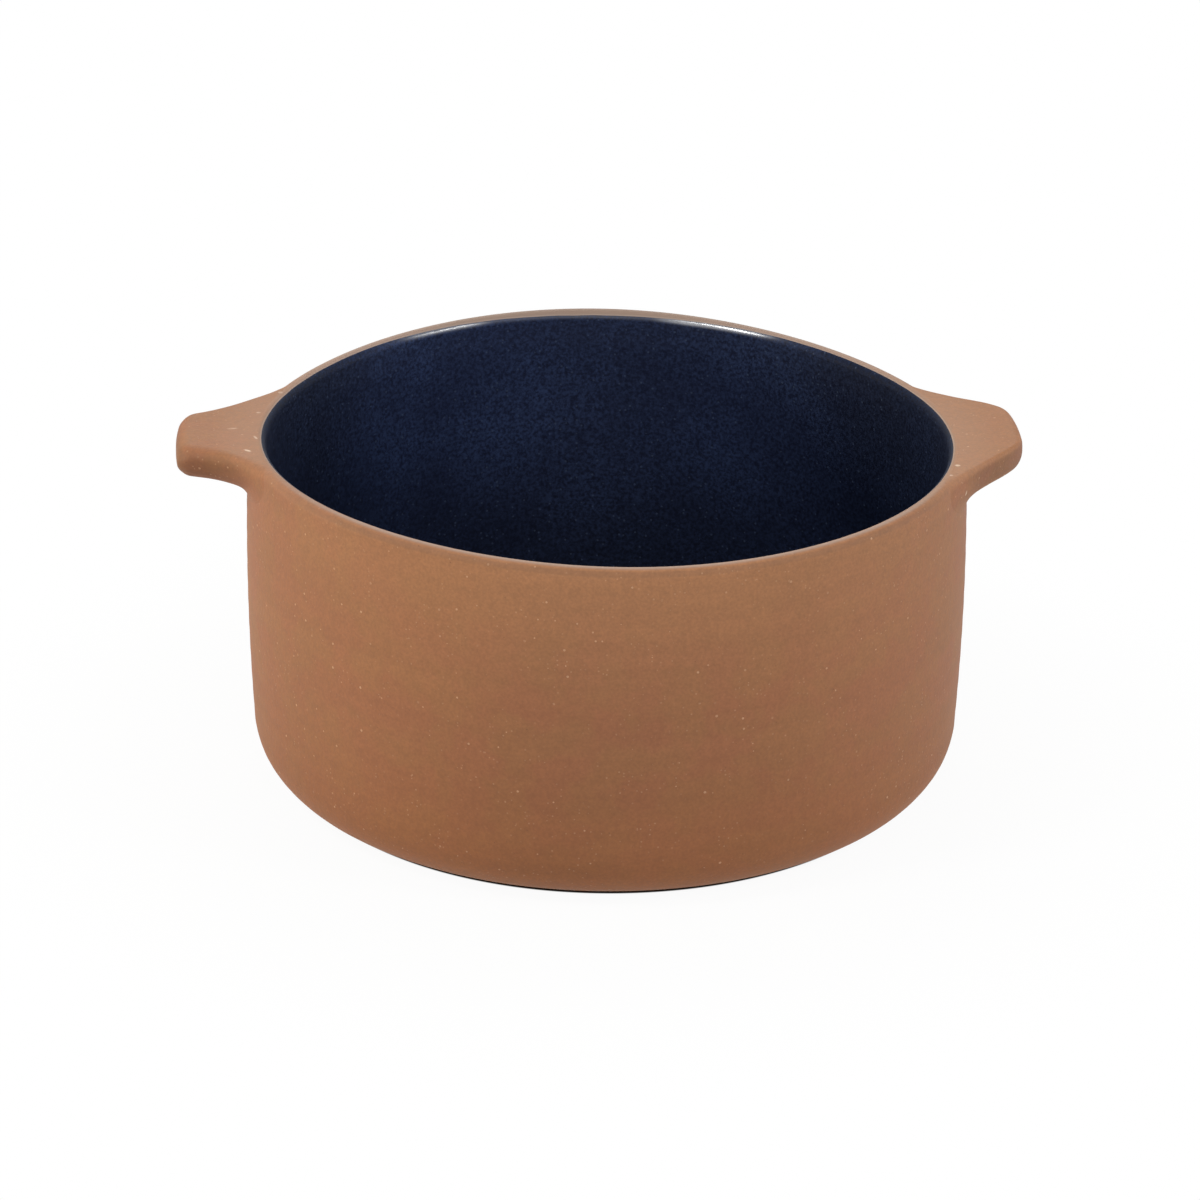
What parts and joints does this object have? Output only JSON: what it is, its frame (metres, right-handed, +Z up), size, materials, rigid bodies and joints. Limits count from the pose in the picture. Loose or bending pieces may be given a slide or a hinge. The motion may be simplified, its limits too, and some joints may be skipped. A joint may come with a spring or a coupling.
{
  "type": "casserole dish",
  "caption": "Round open stoneware casserole dish with a bare clay outside, a dark glazed inside, a full round rim and short lug handles level with the rim.",
  "frame": {"origin": "centre of the flat base, on the table", "axes": "+Z up through the dish's open mouth, +X towards the right handle's tip, +Y towards the back"},
  "size_m": [0.285, 0.2426, 0.12],
  "materials": {
    "bare_clay": "matte, unglazed, fine pale grog specks",
    "navy_glaze": "satin, mottled navy"
  },
  "bodies": {
    "root": {"dish_body": "bare_clay", "left_handle": "bare_clay", "right_handle": "bare_clay", "left_handle_fillet": "bare_clay", "right_handle_fillet": "bare_clay", "glaze_lining": "navy_glaze"}
  },
  "joints": []
}
